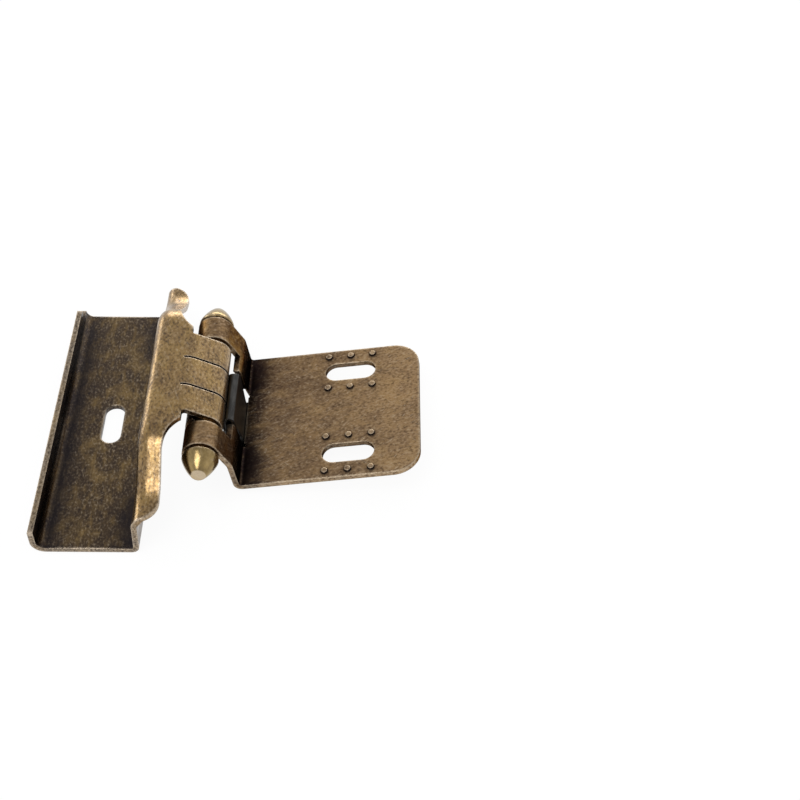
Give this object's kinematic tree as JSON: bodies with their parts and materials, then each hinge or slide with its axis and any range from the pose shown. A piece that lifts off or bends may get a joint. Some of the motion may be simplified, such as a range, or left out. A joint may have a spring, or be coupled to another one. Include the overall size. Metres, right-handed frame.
{
  "type": "self-closing overlay hinge",
  "caption": "Self-closing cabinet hinge: a lipped, slotted frame wing that wraps a face frame, a slotted door leaf, a pin with bullet tips and a spring clip at the barrel.",
  "frame": {"origin": "middle of the frame plate's slot, on the plate face that lies against the frame's edge", "axes": "+Z out of the frame plate towards the frame, +Y along the pin towards the far tip, +X from the lip at the frame's back to the door"},
  "size_m": [0.0813, 0.07, 0.0189],
  "materials": {
    "frame_wing": "antique brass plated steel, brushed",
    "door_leaf": "antique brass plated steel, brushed",
    "hinge_pin": "antique brass plated steel",
    "pin_tips": "antique brass plated, rubbed bright",
    "closing_spring": "dark spring steel"
  },
  "bodies": {
    "frame_side": {"frame_wing": "frame_wing", "hinge_pin": "hinge_pin", "pin_tip_near": "pin_tips", "pin_tip_far": "pin_tips"},
    "door_side": {"door_leaf": "door_leaf", "closing_spring": "closing_spring"}
  },
  "joints": [
    {"name": "door_swing", "type": "hinge", "parent": "frame_side", "child": "door_side", "pos_m": [0.02255, 0, 0.0114], "axis": [0, -1, 0], "range_deg": [-99, 81]}
  ]
}
